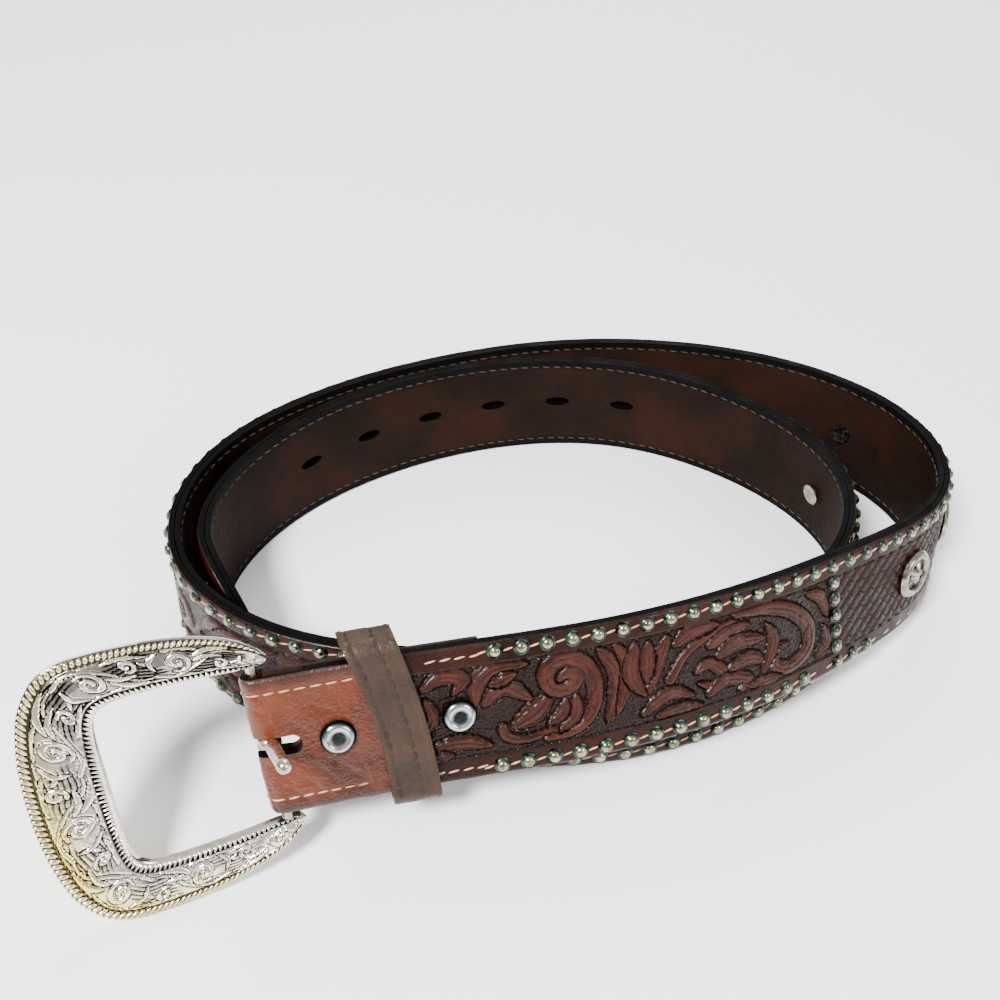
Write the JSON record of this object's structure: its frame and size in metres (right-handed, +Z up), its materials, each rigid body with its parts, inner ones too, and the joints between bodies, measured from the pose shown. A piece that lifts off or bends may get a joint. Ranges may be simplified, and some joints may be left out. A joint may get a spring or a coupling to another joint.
{
  "type": "western belt",
  "caption": "Coiled leather strap belt with a studded, tooled face, round metal ornaments, a keeper loop, snap caps and a horseshoe buckle with a hinged prong.",
  "frame": {"origin": "under the middle of the coiled belt's box, on the plane that the strap's lower edge and the buckle stand on", "axes": "+Z up; the buckle end lies at -X and -Y, its face turned to -Y, and the strap runs from it towards +X, then round the coil anticlockwise seen from above"},
  "size_m": [0.2654, 0.2238, 0.0659],
  "materials": {
    "tooled_leather": "satin",
    "lining_leather": "matt",
    "keeper_leather": "matt",
    "antique_silver": "antiqued polish",
    "nickel": "polished",
    "ornament_metal": "antiqued",
    "stud_metal": "tarnished"
  },
  "bodies": {
    "belt": {"strap_face": "tooled_leather", "strap_lining": "lining_leather", "keeper": "keeper_leather", "snap_cap_1": "nickel", "snap_cap_2": "nickel", "concho_a1": "ornament_metal", "concho_a2": "ornament_metal", "concho_a3": "ornament_metal", "concho_b1": "ornament_metal", "stud_row_upper_panel": "stud_metal", "stud_row_upper_bend": "stud_metal", "stud_row_upper_rear": "stud_metal", "stud_row_upper_inner": "stud_metal", "stud_row_upper_last": "stud_metal", "stud_row_lower_panel": "stud_metal", "stud_row_lower_rear": "stud_metal", "stud_row_lower_inner": "stud_metal", "divider_1": "stud_metal", "divider_2": "stud_metal", "divider_3": "stud_metal", "divider_4": "stud_metal"},
    "buckle": {"buckle_frame": "antique_silver"},
    "prong": {"prong": "nickel"}
  },
  "joints": [
    {"name": "buckle_hinge", "type": "hinge", "parent": "belt", "child": "buckle", "pos_m": [-0.07488, -0.07871, 0.03424], "axis": [-0.2217, 0.421, 0.8796], "range_deg": [-8, 40]},
    {"name": "prong_hinge", "type": "hinge", "parent": "belt", "child": "prong", "pos_m": [-0.07488, -0.07871, 0.03424], "axis": [-0.2217, 0.421, 0.8796], "range_deg": [-78, 10]}
  ]
}
